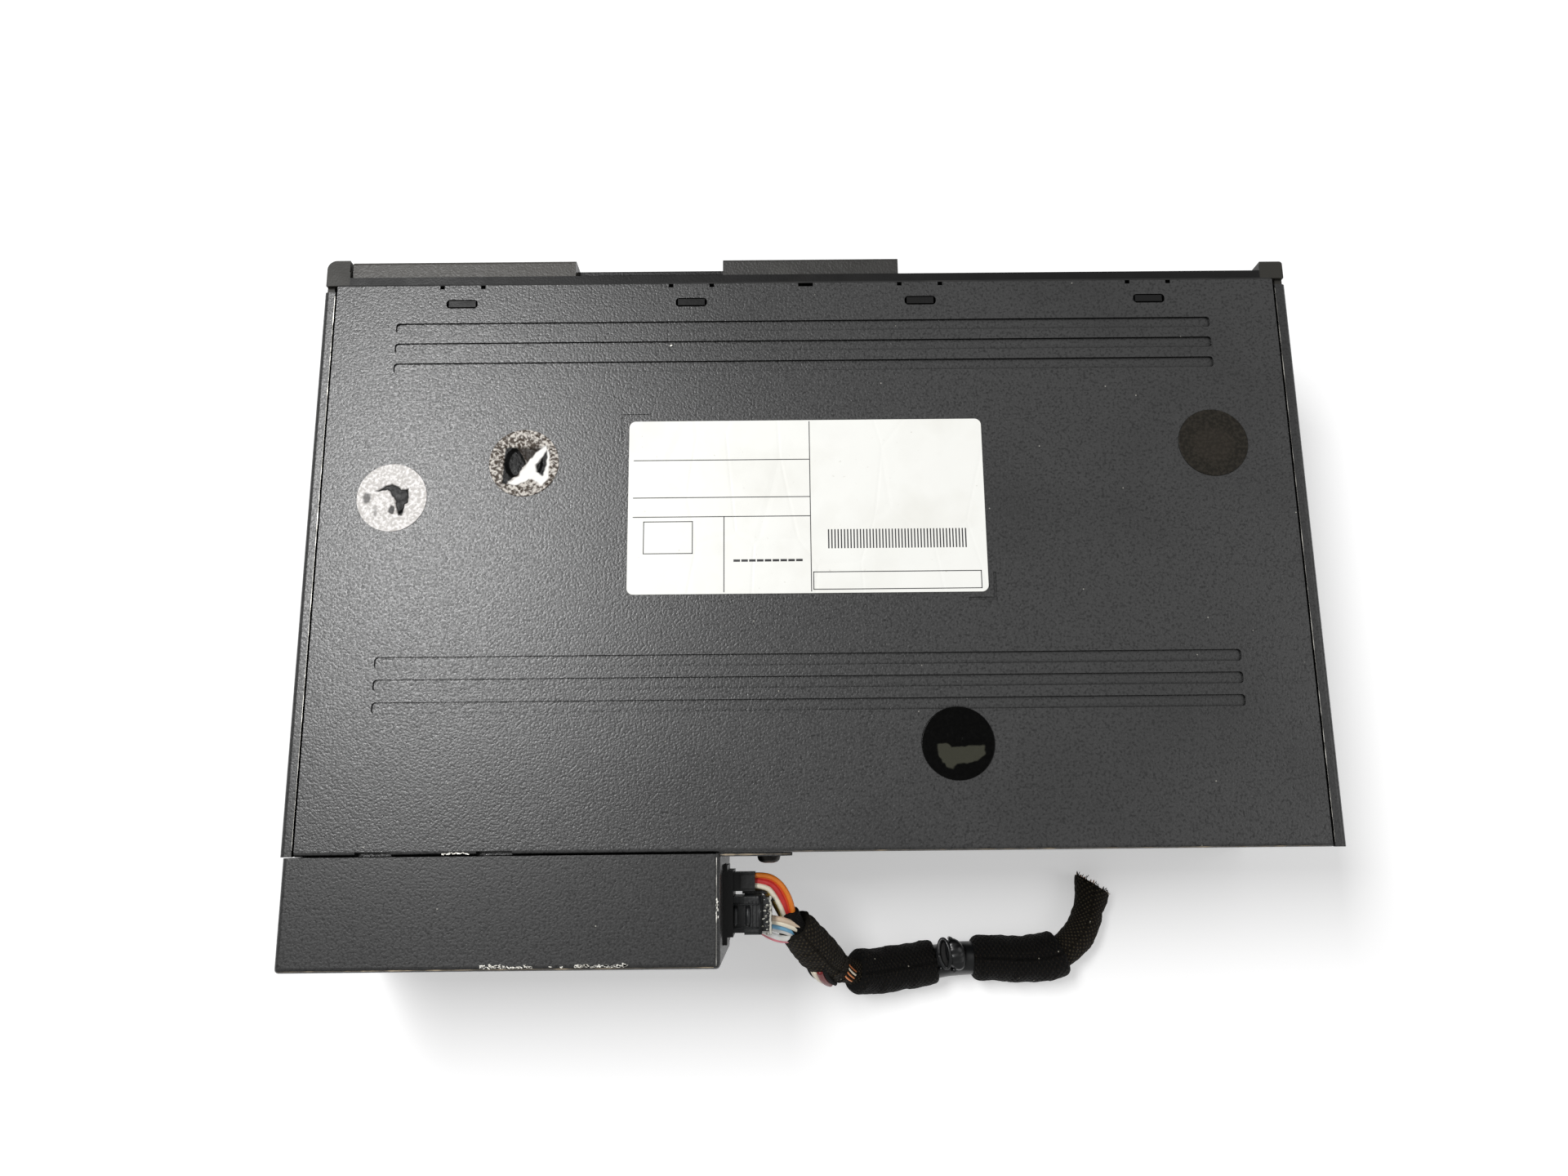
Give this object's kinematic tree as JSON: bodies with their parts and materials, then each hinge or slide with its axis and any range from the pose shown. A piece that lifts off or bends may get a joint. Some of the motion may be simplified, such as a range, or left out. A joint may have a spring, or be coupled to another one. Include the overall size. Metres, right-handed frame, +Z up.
{
  "type": "car cd changer",
  "caption": "Flat black sheet-steel disc changer with a two-leaf sliding door, disc magazine, lifting play deck, rear connector box and short cut wiring harness.",
  "frame": {"origin": "centre of the housing's flat bottom face", "axes": "+Z up through the label face, -Y out of the door side, +X to the left seen from the rear"},
  "size_m": [0.246, 0.1873, 0.0601],
  "materials": {
    "case_coat": "matt",
    "cover_coat": "fine wrinkle",
    "zinc_steel": "satin",
    "bezel_plastic": "fine grain",
    "door_plastic": "fine grain",
    "film_black": "gloss",
    "label_film": "matt",
    "screw_black": "satin",
    "dial_plastic": "matt",
    "button_plastic": "matt",
    "magazine_plastic": "fine grain",
    "tray_plastic": "matt",
    "disc_mirror": "mirror",
    "rubber_black": "matt",
    "acetal_white": "smooth",
    "motor_steel": "satin",
    "pickup_metal": "cast",
    "lens_glass": "clear",
    "board_green": "solder mask",
    "chip_black": "moulded",
    "plug_grey": "worn",
    "plug_black": "gloss",
    "wire_mix": "pvc",
    "tape_fleece": "fleece",
    "clip_black": "matt"
  },
  "bodies": {
    "root": {"bottom_case": "case_coat", "bracket_nuts": "zinc_steel", "top_cover": "cover_coat", "transit_films": "film_black", "type_label": "label_film", "rear_screws": "screw_black", "front_bezel": "bezel_plastic", "eject_switch_board": "board_green", "magazine_guide": "zinc_steel", "chassis_front_plate": "zinc_steel", "chassis_rear_plate": "zinc_steel", "mechanism_dampers": "rubber_black", "chassis_screws": "screw_black", "cam_guide_studs": "zinc_steel", "lift_gearmotor": "motor_steel", "main_board": "board_green", "board_hangers": "motor_steel", "board_components": "chip_black", "connector_cover": "case_coat", "connector_board": "board_green", "connector_posts": "motor_steel", "harness_socket": "plug_black", "large_plug": "plug_grey", "large_plug_latch": "plug_grey", "small_plug": "plug_black", "small_plug_wires": "wire_mix", "large_plug_wires": "wire_mix", "harness_bundle": "tape_fleece", "harness_wrap_near": "tape_fleece", "harness_wrap_far": "tape_fleece", "harness_clip": "clip_black"},
    "door_outer": {"door_outer_leaf": "door_plastic"},
    "door_inner": {"door_inner_leaf": "door_plastic"},
    "eject_button": {"eject_button": "button_plastic"},
    "angle_dial_left": {"angle_dial_left": "dial_plastic"},
    "angle_dial_right": {"angle_dial_right": "dial_plastic"},
    "magazine": {"magazine_case": "magazine_plastic", "stored_trays": "tray_plastic", "stored_discs": "disc_mirror"},
    "play_tray": {"play_tray": "tray_plastic", "play_disc": "disc_mirror"},
    "deck": {"deck_plate": "zinc_steel", "deck_lift_pins": "acetal_white", "spindle_motor": "motor_steel", "guide_rods": "motor_steel", "rod_holders": "acetal_white", "sled_gear_stud": "motor_steel", "sled_motor": "motor_steel", "clamp_arm_pin": "motor_steel"},
    "turntable": {"turntable": "dial_plastic"},
    "pickup_sled": {"optical_pickup": "pickup_metal", "pickup_lens": "lens_glass", "sled_rack": "acetal_white"},
    "sled_gear": {"sled_drive_gear": "acetal_white"},
    "motor_pinion": {"sled_motor_pinion": "acetal_white"},
    "clamp_arm": {"clamp_arm": "zinc_steel"},
    "clamper": {"disc_clamper": "acetal_white"},
    "cam_front": {"lift_cam_front": "zinc_steel"},
    "cam_rear": {"lift_cam_rear": "zinc_steel"},
    "lift_gear": {"lift_gear": "acetal_white"}
  },
  "joints": [
    {"name": "door_outer_slide", "type": "slide", "parent": "root", "child": "door_outer", "axis": [-1, 0, 0], "range_m": [0, 0.13]},
    {"name": "door_inner_slide", "type": "slide", "parent": "root", "child": "door_inner", "axis": [-1, 0, 0], "range_m": [0, 0.0925]},
    {"name": "eject_press", "type": "slide", "parent": "root", "child": "eject_button", "axis": [0, 1, 0], "range_m": [0, 0.0012], "stiffness_N_per_m": 400, "springref_m": -0.002},
    {"name": "dial_left_turn", "type": "hinge", "parent": "root", "child": "angle_dial_left", "pos_m": [0.1223, 0.008, 0.038], "axis": [1, 0, 0], "range_deg": [0, 90]},
    {"name": "dial_right_turn", "type": "hinge", "parent": "root", "child": "angle_dial_right", "pos_m": [-0.1223, 0.008, 0.038], "axis": [1, 0, 0], "range_deg": [0, 90]},
    {"name": "magazine_slide", "type": "slide", "parent": "root", "child": "magazine", "axis": [0, -1, 0], "range_m": [0, 0.003]},
    {"name": "tray_slide", "type": "slide", "parent": "magazine", "child": "play_tray", "axis": [-1, 0, 0], "range_m": [0, 0.108]},
    {"name": "deck_lift", "type": "slide", "parent": "root", "child": "deck", "axis": [0, 0, 1], "range_m": [0, 0.0215]},
    {"name": "cam_front_slide", "type": "slide", "parent": "root", "child": "cam_front", "axis": [-1, 0, 0], "range_m": [0, 0.0241]},
    {"name": "cam_rear_slide", "type": "slide", "parent": "root", "child": "cam_rear", "axis": [-1, 0, 0], "range_m": [0, 0.0241]},
    {"name": "lift_gear_turn", "type": "hinge", "parent": "root", "child": "lift_gear", "pos_m": [-0.08, 0.0663, 0.04576], "axis": [0, 1, 0], "range_deg": [0, 246]},
    {"name": "turntable_spin", "type": "hinge", "parent": "deck", "child": "turntable", "pos_m": [-0.058, 0, 0.0149], "axis": [0, 0, 1], "continuous": true},
    {"name": "sled_slide", "type": "slide", "parent": "deck", "child": "pickup_sled", "axis": [0, -1, 0], "range_m": [0, 0.032]},
    {"name": "sled_gear_turn", "type": "hinge", "parent": "deck", "child": "sled_gear", "pos_m": [-0.0862, -0.02, 0.006], "axis": [0, 0, 1], "range_deg": [-255, 0]},
    {"name": "motor_pinion_turn", "type": "hinge", "parent": "deck", "child": "motor_pinion", "pos_m": [-0.0961, -0.02, 0.006], "axis": [0, 0, 1], "range_deg": [0, 680]},
    {"name": "clamp_arm_swing", "type": "hinge", "parent": "deck", "child": "clamp_arm", "pos_m": [-0.058, 0.059, 0.025], "axis": [1, 0, 0], "range_deg": [0, 3]},
    {"name": "clamper_spin", "type": "hinge", "parent": "clamp_arm", "child": "clamper", "pos_m": [-0.058, 0, 0.0239], "axis": [0, 0, 1], "continuous": true}
  ],
  "couplings": [
    {"joint": "door_inner_slide", "follows": "door_outer_slide", "ratio": 0.71077},
    {"joint": "cam_front_slide", "follows": "deck_lift", "ratio": 1.1163},
    {"joint": "cam_rear_slide", "follows": "deck_lift", "ratio": 1.1163},
    {"joint": "lift_gear_turn", "follows": "deck_lift", "rad_per_m": 199.34},
    {"joint": "sled_gear_turn", "follows": "sled_slide", "rad_per_m": -138.89},
    {"joint": "motor_pinion_turn", "follows": "sled_slide", "rad_per_m": 370.37}
  ]
}
